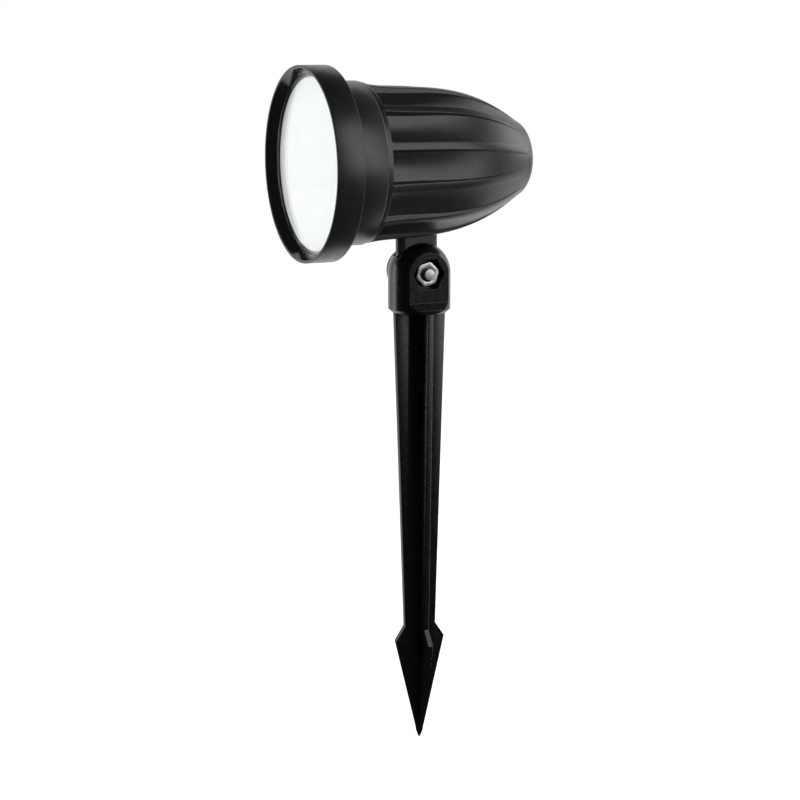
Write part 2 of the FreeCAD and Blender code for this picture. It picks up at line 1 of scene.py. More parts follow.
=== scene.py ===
"""Looks of the garden spike spotlight: its meshes, finishes, studio and camera.

Lengths in the classes are millimetres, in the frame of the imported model: +Z is up, the
ground is z = 0 on the spike's axis, the lens faces -Y and the pivot bolt lies along X.
"""
import json
import logging
import math
from contextlib import contextmanager
from dataclasses import dataclass
from enum import Enum
from typing import Iterable, Iterator, Sequence

import bpy
from mathutils import Matrix, Vector


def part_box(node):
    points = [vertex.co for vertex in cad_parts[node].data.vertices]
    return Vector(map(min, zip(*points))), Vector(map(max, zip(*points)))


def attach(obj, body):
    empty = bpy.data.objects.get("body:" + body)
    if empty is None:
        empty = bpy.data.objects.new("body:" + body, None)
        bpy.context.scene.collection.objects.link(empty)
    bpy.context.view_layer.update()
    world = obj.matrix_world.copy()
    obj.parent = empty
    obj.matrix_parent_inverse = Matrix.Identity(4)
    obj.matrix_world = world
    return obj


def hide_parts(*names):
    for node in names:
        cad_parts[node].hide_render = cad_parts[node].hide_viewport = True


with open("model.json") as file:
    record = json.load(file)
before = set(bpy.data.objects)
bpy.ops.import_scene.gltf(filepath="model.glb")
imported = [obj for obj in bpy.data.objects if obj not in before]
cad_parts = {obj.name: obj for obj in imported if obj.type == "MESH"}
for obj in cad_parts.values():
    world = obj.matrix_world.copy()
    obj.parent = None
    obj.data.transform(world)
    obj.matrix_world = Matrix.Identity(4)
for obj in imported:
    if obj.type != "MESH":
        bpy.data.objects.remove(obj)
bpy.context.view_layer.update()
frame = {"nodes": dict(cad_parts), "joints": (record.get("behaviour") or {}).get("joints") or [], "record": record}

log = logging.getLogger("spotlight")

Piece = bpy.types.Object
Tree = bpy.types.NodeTree
Node = bpy.types.Node
Socket = bpy.types.NodeSocket
Outline = Sequence[tuple[float, float]]
Row = tuple[float, list[Vector]]

MM = 0.001
MERGE = 1e-6
SMOOTH_ANGLE = math.radians(32)
SHARP_ANGLE = math.radians(30)

# Steps round a circle
RING_STEPS = 192
POST_STEPS = 144
DISC_STEPS = 128
ROD_STEPS = 96
THREAD_STEPS = 72
HOLE_STEPS = 64

# Rays that see the white surroundings, and the stretch of a noise that tone and gloss follow
SEEN_RAYS = ("Is Camera Ray", "Is Glossy Ray", "Is Transmission Ray")
NOISE_SPAN = (0.3, 0.7)
RANGE_INPUTS = ("From Min", "From Max", "To Min", "To Max")


class Axis(Enum):
    """Direction about which a piece is turned, with the radial direction of its outline."""

    X = ((1, 0, 0), (0, 0, 1))
    Y = ((0, 1, 0), (0, 0, 1))
    Z = ((0, 0, 1), (1, 0, 0))

    def point(self, centre: Vector, along: float, radius: float) -> Vector:
        """Point of an outline, in metres."""
        return centre + (Vector(self.value[0]) * along + Vector(self.value[1]) * radius) * MM


class Join(Enum):
    """How a boolean combines two pieces."""

    ADD = "UNION"
    CUT = "DIFFERENCE"
    KEEP_COMMON = "INTERSECT"


# Places read from the frame: heights and PIVOT in millimetres, centres in metres

def middle_height(node: str) -> float:
    """Height of the middle of a CAD node's box."""
    low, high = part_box(node)
    return (low.z + high.z) * 0.5 / MM


HEAD_Z = middle_height("lens_glass")
PIVOT_Z = frame["joints"][0]["pos_m"][2] / MM
LAMP_CENTRE = Vector((0, 0, HEAD_Z)) * MM
PIVOT = Vector((0, 0, PIVOT_Z))
PIVOT_CENTRE = PIVOT * MM
ORIGIN = Vector((0, 0, 0))


# Modelling steps shared by the pieces

def only(piece: Piece) -> None:
    """Select and activate one piece alone."""
    bpy.ops.object.select_all(action="DESELECT")
    piece.select_set(True)
    bpy.context.view_layer.objects.active = piece


def taken(name: str) -> Piece:
    """The primitive just added, named and with its place in its mesh."""
    piece = bpy.context.object
    piece.name = name
    piece.data.name = name
    only(piece)
    bpy.ops.object.transform_apply(location=True, rotation=True, scale=True)
    return piece


@contextmanager
def editing(piece: Piece) -> Iterator[None]:
    """Edit mode, with all of a piece selected."""
    only(piece)
    bpy.ops.object.mode_set(mode="EDIT")
    bpy.ops.mesh.select_all(action="SELECT")
    yield
    bpy.ops.object.mode_set(mode="OBJECT")


def tidied(piece: Piece) -> Piece:
    """Merge doubles, drop loose edges and turn the faces outwards."""
    with editing(piece):
        bpy.ops.mesh.remove_doubles(threshold=MERGE)
        bpy.ops.mesh.delete_loose(use_verts=True, use_edges=True, use_faces=False)
        bpy.ops.mesh.select_all(action="SELECT")
        bpy.ops.mesh.normals_make_consistent(inside=False)
    return piece


def turned(name: str, outline: Outline, axis: Axis, centre: Vector, steps: int = ROD_STEPS) -> Piece:
    """Turn a closed outline once about an axis.

    Args:
        name: Name of the piece.
        outline: Pairs of distance along the axis and radius.
        axis: Axis of the turning.
        centre: Point on the axis, in metres.
        steps: Steps round the circle.

    Returns:
        The closed piece.
    """
    bpy.ops.mesh.primitive_circle_add(vertices=len(outline), radius=MM, fill_type="NOTHING")
    piece = taken(name)
    for vertex, (along, radius) in zip(piece.data.vertices, outline):
        vertex.co = axis.point(centre, along, radius)
    with editing(piece):
        bpy.ops.mesh.spin(steps=steps, angle=2 * math.pi, center=centre, axis=axis.value[0])
    return tidied(piece)


def prism(name: str, corners: Sequence[Vector], along: Vector) -> Piece:
    """A polygon extruded along a vector, both in millimetres."""
    bpy.ops.mesh.primitive_circle_add(vertices=len(corners), radius=MM, fill_type="NGON")
    piece = taken(name)
    for vertex, corner in zip(piece.data.vertices, corners):
        vertex.co = corner * MM
    with editing(piece):
        bpy.ops.mesh.extrude_region_move(TRANSFORM_OT_translate={"value": along * MM})
    return tidied(piece)


def block(name: str, low: Vector, high: Vector) -> Piece:
    """A box between two corners in millimetres."""
    bpy.ops.mesh.primitive_cube_add(size=1, location=(low + high) * 0.5 * MM, scale=(high - low) * MM)
    return taken(name)


def rod(name: str, radius: float, start: Vector, end: Vector, steps: int = ROD_STEPS) -> Piece:
    """A cylinder between two points in millimetres."""
    span = end - start
    turn = span.to_track_quat("Z", "Y").to_euler()
    centre = (start + end) * 0.5 * MM
    bpy.ops.mesh.primitive_cylinder_add(
        vertices=steps, radius=radius * MM, depth=span.length * MM, location=centre, rotation=turn
    )
    return taken(name)


def hexagon(flats: float, centre: Vector, turn: float = 0.0) -> list[Vector]:
    """Corners of a hexagon across X; its first corner is turned from the horizontal."""
    radius = flats / math.sqrt(3)
    corners = []
    for i in range(6):
        angle = math.radians(60 * i + turn)
        corners.append(centre + Vector((0, radius * math.cos(angle), radius * math.sin(angle))))
    return corners


def combined(piece: Piece, tools: Iterable[Piece], join: Join) -> Piece:
    """Combine a piece with others, which are used up."""
    for tool in tools:
        only(piece)
        modifier = piece.modifiers.new("combine", "BOOLEAN")
        modifier.operation = join.value
        modifier.solver = "EXACT"
        modifier.object = tool
        bpy.ops.object.modifier_apply(modifier=modifier.name)
        bpy.data.objects.remove(tool)
    return piece


def softened(piece: Piece, width: float, segments: int = 3) -> Piece:
    """Round the sharp edges of a piece.

    Args:
        piece: The piece.
        width: Width of the rounding in millimetres.
        segments: Faces across it.

    Returns:
        The same piece.
    """
    only(piece)
    modifier = piece.modifiers.new("soften", "BEVEL")
    modifier.width = width * MM
    modifier.segments = segments
    modifier.limit_method = "ANGLE"
    modifier.angle_limit = SHARP_ANGLE
    modifier.miter_outer = "MITER_ARC"
    bpy.ops.object.modifier_apply(modifier=modifier.name)
    return piece


def smoothed(piece: Piece) -> Piece:
    """Shade smooth, apart from the sharp edges."""
    only(piece)
    bpy.ops.object.shade_smooth_by_angle(angle=SMOOTH_ANGLE)
    return piece


# Nodes of the materials

def filled(node: Node, values: dict[str, object]) -> Node:
    """Set inputs of a node by their names."""
    for name, value in values.items():
        node.inputs[name].default_value = value
    return node


def worked_out(tree: Tree, kind: str, operation: str, first: Socket, second: object = None) -> Node:
    """A math node that works on a socket and, if it takes one, a second socket or constant."""
    node = tree.nodes.new(kind)
    node.operation = operation
    tree.links.new(first, node.inputs[0])
    if isinstance(second, Socket):
        tree.links.new(second, node.inputs[1])
    elif second is not None:
        node.inputs[1].default_value = second
    return node


def new_material(name: str) -> tuple[bpy.types.Material, Tree, Node]:
    """A material with nodes, its tree and its shader."""
    made = bpy.data.materials.new(name)
    made.use_nodes = True
    return made, made.node_tree, made.node_tree.nodes["Principled BSDF"]


def mapped(tree: Tree, value: Socket, limits: Sequence[float]) -> Socket:
    """A value mapped from one range to another, whose limits follow the first's."""
    node = filled(tree.nodes.new("ShaderNodeMapRange"), dict(zip(RANGE_INPUTS, limits)))
    tree.links.new(value, node.inputs["Value"])
    return node.outputs["Result"]


def picked(tree: Tree, usual: Socket, other: Socket, *rays: str) -> Socket:
    """Choose a shader by the kind of ray.

    Args:
        tree: Node tree that gets the nodes.
        usual: Shader for most rays.
        other: Shader for rays of the named kinds.
        rays: Names of Light Path outputs.

    Returns:
        The socket of the chosen shader.
    """
    path = tree.nodes.new("ShaderNodeLightPath")
    value = path.outputs[rays[0]]
    for name in rays[1:]:
        value = worked_out(tree, "ShaderNodeMath", "MAXIMUM", value, path.outputs[name]).outputs["Value"]
    pick = tree.nodes.new("ShaderNodeMixShader")
    for socket, place in zip((value, usual, other), pick.inputs):
        tree.links.new(socket, place)
    return pick.outputs["Shader"]


# Finishes

@dataclass(frozen=True)
class Finish:
    """A moulded, painted or plated surface with fine variation of tone, gloss and grain.

    Attributes:
        slot: The record's material slot.
        colour: Main colour.
        mottle: Share by which the colour varies.
        mottle_size: Size of the variation, in millimetres.
        rough: Lowest and highest roughness.
        grain: Depth of the surface grain.
        grain_size: Size of the grain, in millimetres.
        edge: Radius by which the light rounds sharp edges, in millimetres.
        core: Radius about the lamp axis within which the piece is polished, in millimetres.
        metallic: 1 for bare metal.
        specular: Strength of the reflection at normal incidence.
        glow: Emission strength: painted light, a glow on a piece that is no lamp.
        clear: Transmission weight.
    """

    CORE_ROUGHNESS = 0.4
    CORE_EDGE = 0.4

    slot: str
    colour: tuple[float, float, float]
    mottle: float = 0.12
    mottle_size: float = 6.0
    rough: tuple[float, float] = (0.35, 0.45)
    grain: float = 0.02
    grain_size: float = 0.35
    edge: float = 0.0
    core: float = 0.0
    metallic: float = 0.0
    specular: float = 0.5
    glow: float = 0.0
    clear: float = 0.0

    def material(self) -> bpy.types.Material:
        """The finish as a node-based material, made once."""
        name = "finish_" + self.slot
        if name in bpy.data.materials:
            return bpy.data.materials[name]
        made, tree, shader = new_material(name)
        filled(shader, {
            "Metallic": self.metallic,
            "Specular IOR Level": self.specular,
            "Transmission Weight": self.clear,
            "Emission Color": (*self.colour, 1),
            # Emission paints light: a glow on a piece that is no lamp, used on the optic
            "Emission Strength": self.glow,
        })
        place = tree.nodes.new("ShaderNodeTexCoord")
        self._tone(tree, place, shader)
        self._gloss(tree, place, shader)
        if self.grain > 0:
            self._grain(tree, place, shader)
        if self.clear > 0:
            self._pass_light(tree, shader)
        return made

    def _pass_light(self, tree: Tree, shader: Node) -> None:
        """Let shadow rays through, so that what lies behind the glass is lit."""
        clear = tree.nodes.new("ShaderNodeBsdfTransparent")
        surface = picked(tree, shader.outputs["BSDF"], clear.outputs["BSDF"], "Is Shadow Ray")
        tree.links.new(surface, tree.nodes["Material Output"].inputs["Surface"])

    def _noise(self, tree: Tree, place: Node, size: float, detail: float) -> Node:
        """A noise texture whose features have a size in millimetres."""
        noise = filled(tree.nodes.new("ShaderNodeTexNoise"), {"Scale": 1 / (size * MM), "Detail": detail})
        tree.links.new(place.outputs["Object"], noise.inputs["Vector"])
        return noise

    def _tone(self, tree: Tree, place: Node, shader: Node) -> None:
        """Vary the colour a little."""
        noise = self._noise(tree, place, self.mottle_size, 3)
        ramp = tree.nodes.new("ShaderNodeValToRGB")
        shares = (1 - self.mottle, 1 + self.mottle)
        for element, position, share in zip(ramp.color_ramp.elements, NOISE_SPAN, shares):
            element.position = position
            element.color = (*(min(1.0, c * share) for c in self.colour), 1)
        tree.links.new(noise.outputs["Fac"], ramp.inputs["Fac"])
        tree.links.new(ramp.outputs["Color"], shader.inputs["Base Color"])

    def _gloss(self, tree: Tree, place: Node, shader: Node) -> None:
        """Vary the roughness."""
        noise = self._noise(tree, place, self.mottle_size / 2, 4)
        roughness = mapped(tree, noise.outputs["Fac"], (*NOISE_SPAN, *self.rough))
        if self.core > 0:
            share = self._core_share(tree, place)
            roughness = worked_out(tree, "ShaderNodeMath", "MULTIPLY", roughness, share).outputs["Value"]
        tree.links.new(roughness, shader.inputs["Roughness"])

    def _core_share(self, tree: Tree, place: Node) -> Socket:
        """Share of the roughness that is left: little inside the polished core, all of it outside."""
        vector_math = "ShaderNodeVectorMath"
        offset = worked_out(tree, vector_math, "SUBTRACT", place.outputs["Object"], LAMP_CENTRE)
        across = worked_out(tree, vector_math, "MULTIPLY", offset.outputs["Vector"], (1, 0, 1))
        radius = worked_out(tree, vector_math, "LENGTH", across.outputs["Vector"])
        limits = (self.core * MM, (self.core + self.CORE_EDGE) * MM, self.CORE_ROUGHNESS, 1.0)
        return mapped(tree, radius.outputs["Value"], limits)

    def _grain(self, tree: Tree, place: Node, shader: Node) -> None:
        """Fine grain of the mould or plating."""
        noise = self._noise(tree, place, self.grain_size, 2)
        depth = {"Strength": self.grain, "Distance": self.grain_size * MM}
        bump = filled(tree.nodes.new("ShaderNodeBump"), depth)
        tree.links.new(noise.outputs["Fac"], bump.inputs["Height"])
        if self.edge > 0:
            worn = filled(tree.nodes.new("ShaderNodeBevel"), {"Radius": self.edge * MM})
            tree.links.new(worn.outputs["Normal"], bump.inputs["Normal"])
        tree.links.new(bump.outputs["Normal"], shader.inputs["Normal"])


HOUSING_BLACK = Finish("housing_black", (0.012, 0.012, 0.0122), rough=(0.33, 0.39))
BEZEL_BLACK = Finish("bezel_black", (0.01, 0.01, 0.0102), rough=(0.32, 0.38), edge=0.3, core=41.3)
KNUCKLE_BLACK = Finish("knuckle_black", (0.003, 0.003, 0.0032), rough=(0.22, 0.28), edge=0.45, specular=0.35)
SPIKE_BLACK = Finish("spike_black", (0.003, 0.003, 0.0032), rough=(0.22, 0.30), edge=0.3, specular=0.4)
GLAND_BLACK = Finish("gland_black", (0.006, 0.006, 0.006), rough=(0.4, 0.5), specular=0.3)
RUBBER = Finish("rubber_black", (0.015, 0.015, 0.015), rough=(0.6, 0.75), specular=0.3)
ZINC = Finish(
    "zinc", (0.52, 0.52, 0.51), mottle=0.08, mottle_size=1.5, rough=(0.3, 0.42), edge=0.12, metallic=1.0
)
# Painted light: the optic's glow brightens the white disc, which is no lamp, and lightens the side that the bezel
# shades
OPTIC = Finish("optic_white", (0.88, 0.885, 0.89), mottle=0.01, rough=(0.4, 0.42), glow=0.05, grain=0)
GLASS = Finish("clear_glass", (0.97, 0.99, 0.985), mottle=0.005, rough=(0.01, 0.03), clear=1.0, grain=0)
INNER_FINISHES = (
    Finish("reflector_white", (0.86, 0.86, 0.86), mottle=0.02, rough=(0.2, 0.3)),
    Finish("board_white", (0.8, 0.8, 0.78), mottle=0.03, rough=(0.4, 0.5)),
    Finish("chip_yellow", (0.85, 0.62, 0.12), mottle=0.05, mottle_size=0.5, rough=(0.3, 0.4)),
    Finish("pad_grey", (0.18, 0.2, 0.22), rough=(0.7, 0.8)),
    Finish("bare_aluminium", (0.75, 0.76, 0.77), mottle=0.06, mottle_size=2, rough=(0.3, 0.45), metallic=1.0),
    Finish("case_white", (0.75, 0.75, 0.7), mottle=0.04, rough=(0.45, 0.55)),
    Finish("board_green", (0.01, 0.09, 0.03), rough=(0.3, 0.4)),
    Finish("winding_tape", (0.6, 0.4, 0.03), rough=(0.3, 0.4)),
    Finish("capacitor_sleeve", (0.01, 0.012, 0.03), rough=(0.25, 0.35)),
    Finish("chip_black", (0.01, 0.01, 0.01), rough=(0.5, 0.6)),
    Finish("terminal_grey", (0.35, 0.35, 0.35), rough=(0.4, 0.5)),
    Finish("lead_red", (0.4, 0.01, 0.01), rough=(0.4, 0.5)),
    RUBBER,
    ZINC,
    GLAND_BLACK,
)


def dressed(piece: Piece, finish: Finish, body: str, *nodes: str) -> Piece:
    """Shade a piece smooth, give it its finish and its body, and hide the CAD nodes that it stands for."""
    smoothed(piece)
    piece.data.materials.clear()
    piece.data.materials.append(finish.material())
    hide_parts(*nodes)
    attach(piece, body)
    log.info("%s: %d faces", piece.name, len(piece.data.polygons))
    return piece


def dress_hidden_nodes() -> None:
    """Give every CAD node the finish of its slot."""
    slots = {entry["node"]: entry["material_slot"] for entry in frame["record"]["subparts"]}
    known = (*INNER_FINISHES, HOUSING_BLACK, BEZEL_BLACK, KNUCKLE_BLACK, SPIKE_BLACK, OPTIC, GLASS)
    finishes = {finish.slot: finish for finish in known}
    for name, node in frame["nodes"].items():
        node.data.materials.clear()
        node.data.materials.append(finishes[slots[name]].material())


# Head

@dataclass
class Bezel:
    """The ring that clamps the glass."""

    radius: float = 42.5
    front: float = -57.0
    length: float = 12.5
    rim: float = 1.2
    cone_depth: float = 4.7
    cone_draft: float = 2.6
    wall: float = 2.5
    edge: float = 0.35

    def build(self) -> Piece:
        """Turn the ring, with a rounded front rim and a glossy inner cone."""
        back = self.front + self.length
        lip_y = self.front + self.cone_depth
        mouth = self.radius - self.rim
        throat = mouth - self.cone_draft
        skirt = self.radius - self.wall
        outline = (
            (self.front, mouth),
            (self.front, self.radius),
            (back, self.radius),
            (back, skirt),
            (lip_y, skirt),
            (lip_y, throat),
        )
        ring = turned("bezel_ring", outline, Axis.Y, LAMP_CENTRE, RING_STEPS)
        return dressed(softened(ring, self.edge), BEZEL_BLACK, "head", "front_bezel")


@dataclass
class LensStack:
    """Clear glass with the white optic behind it."""

    glass_radius: float = 39.8
    glass_front: float = -52.3
    glass_thick: float = 2.0
    glass_edge: float = 0.3
    optic_radius: float = 37.8
    optic_front: float = -50.2
    optic_back: float = -47.7
    optic_edge: float = 0.5
    ring_radii: tuple[float, ...] = (7.0, 13.0, 20.0, 27.5, 35.5)
    ring_depth: float = 0.24
    ring_width: float = 1.5

    def build(self) -> list[Piece]:
        """Make the glass and the optic."""
        return [self._glass(), self._optic()]

    def _glass(self) -> Piece:
        """A flat disc with ground edges."""
        back = self.glass_front + self.glass_thick
        edge = self.glass_edge
        outline = (
            (self.glass_front, 0),
            (self.glass_front, self.glass_radius - edge),
            (self.glass_front + edge, self.glass_radius),
            (back - edge, self.glass_radius),
            (back, self.glass_radius - edge),
            (back, 0),
        )
        disc = turned("lens_pane", outline, Axis.Y, LAMP_CENTRE, RING_STEPS)
        return dressed(disc, GLASS, "head", "lens_glass")

    def _optic(self) -> Piece:
        """A white disc with shallow concentric steps in its front."""
        front = [(self.optic_front, 0.0)]
        for radius in self.ring_radii:
            front.append((self.optic_front, radius - self.ring_width))
            front.append((self.optic_front + self.ring_depth, radius))
            front.append((self.optic_front, radius + self.ring_width))
        front.append((self.optic_front, self.optic_radius - self.optic_edge))
        front.append((self.optic_front + self.optic_edge, self.optic_radius))
        outline = front + [(self.optic_back, self.optic_radius), (self.optic_back, 0.0)]
        disc = turned("white_optic", outline, Axis.Y, LAMP_CENTRE, RING_STEPS)
        return dressed(disc, OPTIC, "head", "diffuser_optic")


@dataclass
class Housing:
    """The fluted shell: collar, ribs, channels, rounded back and tongue.

    Attributes:
        floor_depth: Depth of a channel at its middle, where the flutes start.
        hollow: How much less deep its floor is beside the ribs.
        cavity_depth: Depth under the ribs' tops that the wall keeps clear of.
        edge_share: Largest share of the depth that an edge or a fillet takes.
        top_gap: How far under the ribs' tops a point still counts as on them.
        bend: Place of the middle point of an edge or a fillet, as a share of it.
        lip: Distances before the flutes and insets of the rows that round the channels' front ends.
        end_wall: Distances behind the flutes' start and heights, as shares, of a channel's end wall.
        end_wall_run: Distance behind the flutes' start of the first full section.
    """

    front: float = -48.2
    flange_radius: float = 39.9
    flange_back: float = -45.0
    edge: float = 0.4
    back_edge: float = 0.3
    collar_radius: float = 35.7
    collar_back_radius: float = 35.1
    collar_step: float = -31.0
    step_edge: float = 0.1
    step_run: float = 0.6
    flute_start: float = -28.2
    rear_corner: float = 45.5
    back: float = 50.3
    back_radius: float = 12.6
    back_ring: float = 8.0
    corner_bulge: float = 0.12
    corner_steps: int = 8
    corner_gap: float = 0.01
    ribs: int = 12
    rib_width: float = 3.8
    rib_outline: tuple[tuple[float, float], ...] = (
        (-28.2, 35.1), (-4.0, 33.6), (17.0, 30.8), (30.0, 26.4), (45.5, 17.8),
    )
    floor_depth: float = 4.2
    hollow: float = 3.4
    cavity_depth: float = 4.6
    rib_edge: float = 0.4
    groove_fillet: float = 0.5
    top_gap: float = 0.02
    edge_share: float = 0.15
    bend: float = 0.3
    draft: float = 0.08
    lip: tuple[tuple[float, float], ...] = ((0.12, 0.1), (0.0, 0.35))
    end_wall: tuple[tuple[float, float], ...] = ((0.02, 0.6), (0.12, 0.12))
    end_wall_run: float = 0.5
    rows: int = 46
    floor_steps: int = 8
    reach_rounds: int = 30
    bore: float = 35.0
    sink_bore: float = 33.0
    ledge: float = -30.1
    wall: float = 2.4
    back_wall: float = 3.8
    gland_hole: float = 4.2
    hole_edge: float = 0.3
    tongue_thick: float = 6.6
    tongue_length: float = 19.8
    tongue_shift: float = -1.4
    tongue_root: float = 3.6
    pivot_hole: float = 3.08
    hole_reach: float = 9.0

    def rib_radius(self, y: float) -> float:
        """Radius of the rib outline, by interpolation through its points."""
        total = 0.0
        for i, (yi, ri) in enumerate(self.rib_outline):
            weight = ri
            for j, (yj, _) in enumerate(self.rib_outline):
                if i != j:
                    weight *= (y - yj) / (yi - yj)
            total += weight
        return total

    def section(self, y: float) -> list[Vector]:
        """Points of one twelfth of the section, from a rib's middle to the next, about X = 0 degrees.

        Args:
            y: Station along the lamp axis.

        Returns:
            Points as (across, radial) in the frame of the rib at 0 degrees, without the last.
        """
        half_step = math.pi / self.ribs
        rib_r = self.rib_radius(y)
        left = (self.rear_corner - y) / (self.rear_corner - self.flute_start)
        depth = self.floor_depth * left
        floor_r = rib_r - depth
        hollow = self.hollow * left
        half = self.rib_width / 2
        edge = min(self.rib_edge, depth * self.edge_share)
        fillet = min(self.groove_fillet, depth * self.edge_share)
        foot = half + self.draft * depth
        reach = self._floor_reach(foot + fillet, floor_r, hollow)
        floor = []
        for i in range(self.floor_steps + 1):
            t = reach * (1 - i / self.floor_steps)
            floor.append(self._turned(Vector((-t, self._floor_height(t, floor_r, hollow))), half_step))
        start, inset = floor[0], self.bend * fillet
        knee = [Vector((foot, start.y + fillet)), Vector((foot + inset, start.y + inset))]
        flank = self._rib_side(rib_r, half, edge) + knee + floor
        mirrored = [self._mirrored(point, half_step) for point in reversed(flank[1:-1])]
        return flank + mirrored

    def _rib_side(self, rib_r: float, half: float, edge: float) -> list[Vector]:
        """The rib's top from its middle to its rounded edge."""
        inner = half - edge
        side = math.sqrt(rib_r ** 2 - half ** 2)
        inset = self.bend * edge
        return [
            Vector((0, rib_r)),
            Vector((inner, math.sqrt(rib_r ** 2 - inner ** 2))),
            Vector((half - inset, side - inset)),
            Vector((half, side - edge)),
        ]

    def _floor_height(self, t: float, floor_r: float, hollow: float) -> float:
        """Height of a channel's scooped floor at a distance from its middle."""
        width = floor_r * math.sin(math.pi / self.ribs)
        return math.sqrt(floor_r ** 2 - t ** 2) + hollow * (t / width) ** 2

    def _floor_reach(self, offset: float, floor_r: float, hollow: float) -> float:
        """Distance from a channel's middle to where its floor meets the rib's foot."""
        half_step = math.pi / self.ribs
        t = 0.0
        for _ in range(self.reach_rounds):
            height = self._floor_height(t, floor_r, hollow)
            t = (height * math.sin(half_step) - offset) / math.cos(half_step)
        return t

    def _turned(self, point: Vector, angle: float) -> Vector:
        """Turn a section point clockwise from a channel's frame to the rib's."""
        c, s = math.cos(angle), math.sin(angle)
        return Vector((point.x * c + point.y * s, point.y * c - point.x * s))

    def _mirrored(self, point: Vector, half_step: float) -> Vector:
        """Mirror a section point about the middle of the channel."""
        c, s = math.cos(2 * half_step), math.sin(2 * half_step)
        return Vector((-point.x * c + point.y * s, point.y * c + point.x * s))

    def _ring(self, radius: float, like: Sequence[Vector]) -> list[Vector]:
        """A circular row whose points lie at the angles of a fluted section."""
        return [point.normalized() * radius for point in like]

    def outer_rows(self) -> list[Row]:
        """Rows of one twelfth of the outside, from the front face to the gland's hole."""
        first = self.section(self.flute_start)
        rings = (
            (self.front, self.flange_radius - self.edge),
            (self.front + self.edge, self.flange_radius),
            (self.flange_back - self.back_edge, self.flange_radius),
            (self.flange_back, self.flange_radius - self.back_edge),
            (self.flange_back, self.collar_radius + self.edge),
            (self.flange_back + self.edge, self.collar_radius),
            (self.collar_step - self.step_edge, self.collar_radius),
            (self.collar_step, self.collar_radius - self.step_edge / 2),
            (self.collar_step + self.step_run, self.collar_back_radius),
            (self.flute_start - self.edge, self.collar_back_radius),
        )
        rows = [(y, self._ring(radius, first)) for y, radius in rings]
        for before, inset in self.lip:
            rows.append((self.flute_start - before, self._lip_row(inset, first)))
        lip_end = rows[-1][1]
        for behind, share in self.end_wall:
            points = [low.lerp(high, share) for low, high in zip(first, lip_end)]
            rows.append((self.flute_start + behind, points))
        start = self.flute_start + self.end_wall_run
        end = self.rear_corner - self.corner_gap
        for i in range(self.rows):
            y = start + (end - start) * i / (self.rows - 1)
            rows.append((y, self.section(y)))
        return rows + self._back_rows(self.section(end))

    def _lip_row(self, inset: float, like: Sequence[Vector]) -> list[Vector]:
        """A row of the rounded lip over the channels, flush with the tops of the ribs."""
        radius = self.collar_back_radius
        top = self.rib_radius(self.flute_start) - self.top_gap
        return [point.normalized() * (radius if point.length > top else radius - inset) for point in like]

    def _back_rows(self, like: Sequence[Vector]) -> list[Row]:
        """The rounded corner, the flat back and the hole for the gland."""
        start = Vector((self.rear_corner, self.rib_outline[-1][1]))
        end = Vector((self.back, self.back_radius))
        chord = end - start
        outward = Vector((-chord.y, chord.x)).normalized()
        rows = []
        for i in range(self.corner_steps + 1):
            share = i / self.corner_steps
            bulge = 4 * share * (1 - share) * self.corner_bulge * chord.length
            point = start + chord * share + outward * bulge
            rows.append((point.x, self._ring(point.y, like)))
        for radius in (self.back_radius - self.edge, self.back_ring, self.gland_hole + self.hole_edge):
            rows.append((self.back, self._ring(radius, like)))
        rows.append((self.back - self.hole_edge, self._ring(self.gland_hole, like)))
        return rows

    def inner_rows(self, like: Sequence[Vector]) -> list[Row]:
        """Rows of the cavity, from the back wall to the front bore."""
        inner = self.back - self.back_wall
        middle_y = self.rib_outline[2][0]
        middle_r = self.rib_radius(middle_y) - self.cavity_depth - self.wall
        ledge_r = self.rib_radius(self.flute_start) - self.cavity_depth - self.wall
        places = (
            (inner, self.gland_hole),
            (inner, self.back_radius),
            (middle_y, middle_r),
            (self.ledge, ledge_r),
            (self.ledge, self.sink_bore),
            (self.flange_back, self.sink_bore),
            (self.flange_back, self.bore),
            (self.front, self.bore),
        )
        return [(y, self._ring(radius, like)) for y, radius in places]

    def shell(self) -> Piece:
        """The whole casting but its tongue, from a grid wrapped round the lamp axis."""
        rows = self.outer_rows()
        rows += self.inner_rows(self.section(self.flute_start))
        rows.append(rows[0])
        per_rib = len(rows[0][1])
        columns = per_rib * self.ribs + 1
        bpy.ops.mesh.primitive_grid_add(
            x_subdivisions=columns - 1, y_subdivisions=len(rows) - 1, size=MM
        )
        piece = taken("fluted_housing")
        step = 2 * math.pi / self.ribs
        for index, vertex in enumerate(piece.data.vertices):
            row, column = divmod(index, columns)
            y, points = rows[row]
            rib, place = divmod(column, per_rib)
            point = self._turned(points[place], step * (rib + 0.5))
            vertex.co = LAMP_CENTRE + Vector((point.x, y, point.y)) * MM
        return tidied(piece)

    def tongue(self) -> list[Piece]:
        """The lug: a slab with rounded ends and a round lower end."""
        half = self.tongue_thick / 2
        reach = self.tongue_length / 2
        top = HEAD_Z - self.sink_bore + self.tongue_root
        flat = reach - half
        front, back = self.tongue_shift - flat, self.tongue_shift + flat
        slab = block("tongue_slab", Vector((-half, front, PIVOT_Z)), Vector((half, back, top)))
        ends = [rod("tongue_end", half, Vector((0, y, PIVOT_Z)), Vector((0, y, top))) for y in (front, back)]
        side = Vector((half, 0, 0))
        disc = rod("tongue_disc", reach, PIVOT - side, PIVOT + side, DISC_STEPS)
        return [slab, *ends, disc]

    def build(self) -> Piece:
        """Join shell and tongue and bore the pivot hole."""
        slab, *others = self.tongue()
        lug = combined(slab, others, Join.ADD)
        side = Vector((self.hole_reach, 0, 0))
        hole = rod("hole", self.pivot_hole, PIVOT - side, PIVOT + side, HOLE_STEPS)
        lug = combined(lug, [hole], Join.CUT)
        piece = combined(self.shell(), [lug], Join.ADD)
        return dressed(piece, HOUSING_BLACK, "head", "housing")


